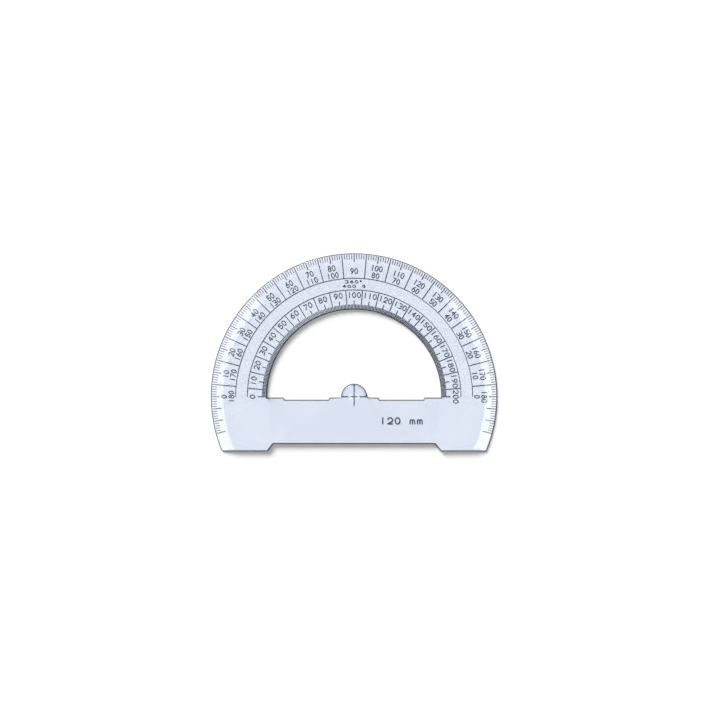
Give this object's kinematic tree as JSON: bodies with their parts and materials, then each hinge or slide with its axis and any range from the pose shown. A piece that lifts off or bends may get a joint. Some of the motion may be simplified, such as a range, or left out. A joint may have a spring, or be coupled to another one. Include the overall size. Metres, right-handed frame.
{
  "type": "protractor",
  "caption": "Clear plastic half-round drawing protractor with a bevelled rim, degree and gon scales, a centre cross and a footed base bar",
  "frame": {"origin": "centre mark of the scales, where the two cross lines meet, in the plane that the underside rests on", "axes": "+X along the base line to the right, seen from above; +Y towards the ninety degree mark; +Z out of the bevelled top face"},
  "size_m": [0.12, 0.083, 0.0018],
  "materials": {
    "clear_plastic": "clear gloss with a faint blue tint",
    "ink": "printed blue-black ink"
  },
  "bodies": {
    "root": {"body": "clear_plastic", "degree_fine_ticks": "ink", "degree_ten_ticks": "ink", "degree_overrun_marks": "ink", "degree_cell_dividers": "ink", "degree_scale_line": "ink", "degree_numerals_clockwise": "ink", "degree_numerals_counterclockwise": "ink", "degree_numeral_ninety": "ink", "degree_unit_mark": "ink", "gon_fine_ticks": "ink", "gon_ten_ticks": "ink", "gon_cell_dividers": "ink", "gon_scale_line": "ink", "gon_numerals": "ink", "gon_unit_mark": "ink", "centre_vertical_line": "ink", "centre_horizontal_line": "ink", "size_mark": "ink"}
  },
  "joints": []
}
